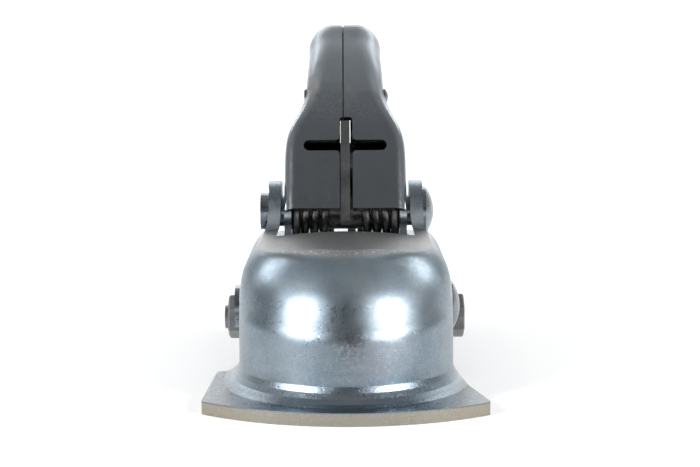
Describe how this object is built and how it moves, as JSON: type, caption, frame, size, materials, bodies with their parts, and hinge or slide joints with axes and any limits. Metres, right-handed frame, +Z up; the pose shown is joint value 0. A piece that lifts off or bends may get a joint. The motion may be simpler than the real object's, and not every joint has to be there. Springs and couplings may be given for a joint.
{
  "type": "trailer coupling head",
  "caption": "Pressed steel trailer coupling head for a tow ball, with a domed socket, a sprung upright handle, a trigger blade and a ball clamp.",
  "frame": {"origin": "centre of the tow ball when the head is seated on it", "axes": "+Z up, +Y from the nose towards the drawbar channel, +X across, along the rivets"},
  "size_m": [0.0864, 0.174, 0.116],
  "materials": {
    "zinc_plated_steel": "blue zinc plating, satin with a fine grain",
    "handle_steel": "dark zinc plating, satin, lightly scratched",
    "blade_steel": "dull plated steel, worn edge",
    "rivet_steel": "satin zinc",
    "bolt_steel": "dull zinc, slightly brown",
    "inner_steel": "plain zinc, satin",
    "spring_steel": "black oiled spring wire"
  },
  "bodies": {
    "frame": {"housing": "zinc_plated_steel", "pivot_rivet": "rivet_steel", "clamp_rivet": "rivet_steel", "cross_bolt": "bolt_steel", "cross_bolt_nut": "bolt_steel", "cross_bolt_washer": "bolt_steel", "cross_bolt_tube": "inner_steel", "spring_sleeve": "spring_steel", "return_spring_left": "spring_steel", "return_spring_right": "spring_steel", "clamp_tube_left": "inner_steel", "clamp_tube_right": "inner_steel"},
    "handle": {"handle": "handle_steel", "drive_pin": "rivet_steel", "trigger_rivet": "rivet_steel", "trigger_spring": "spring_steel"},
    "trigger": {"trigger": "blade_steel"},
    "clamp": {"ball_clamp": "inner_steel", "clamp_arm": "inner_steel", "clamp_arm_pin": "rivet_steel"}
  },
  "joints": [
    {"name": "handle_turn", "type": "hinge", "parent": "frame", "child": "handle", "pos_m": [0, 0.028, 0.0348], "axis": [1, 0, 0], "range_deg": [0, 60], "stiffness_Nm_per_rad": 0.5, "springref_deg": -28.65, "deforming": ["return_spring_left", "return_spring_right"]},
    {"name": "trigger_squeeze", "type": "hinge", "parent": "handle", "child": "trigger", "pos_m": [0, 0.04274, 0.07132], "axis": [1, 0, 0], "range_deg": [0, 6], "stiffness_Nm_per_rad": 0.3, "springref_deg": -14.32, "deforming": ["trigger_spring"]},
    {"name": "clamp_turn", "type": "hinge", "parent": "frame", "child": "clamp", "pos_m": [0, 0.031, 0.0027], "axis": [1, 0, 0], "range_deg": [0, 16]}
  ],
  "couplings": [
    {"joint": "clamp_turn", "follows": "handle_turn", "ratio": 0.26667}
  ]
}
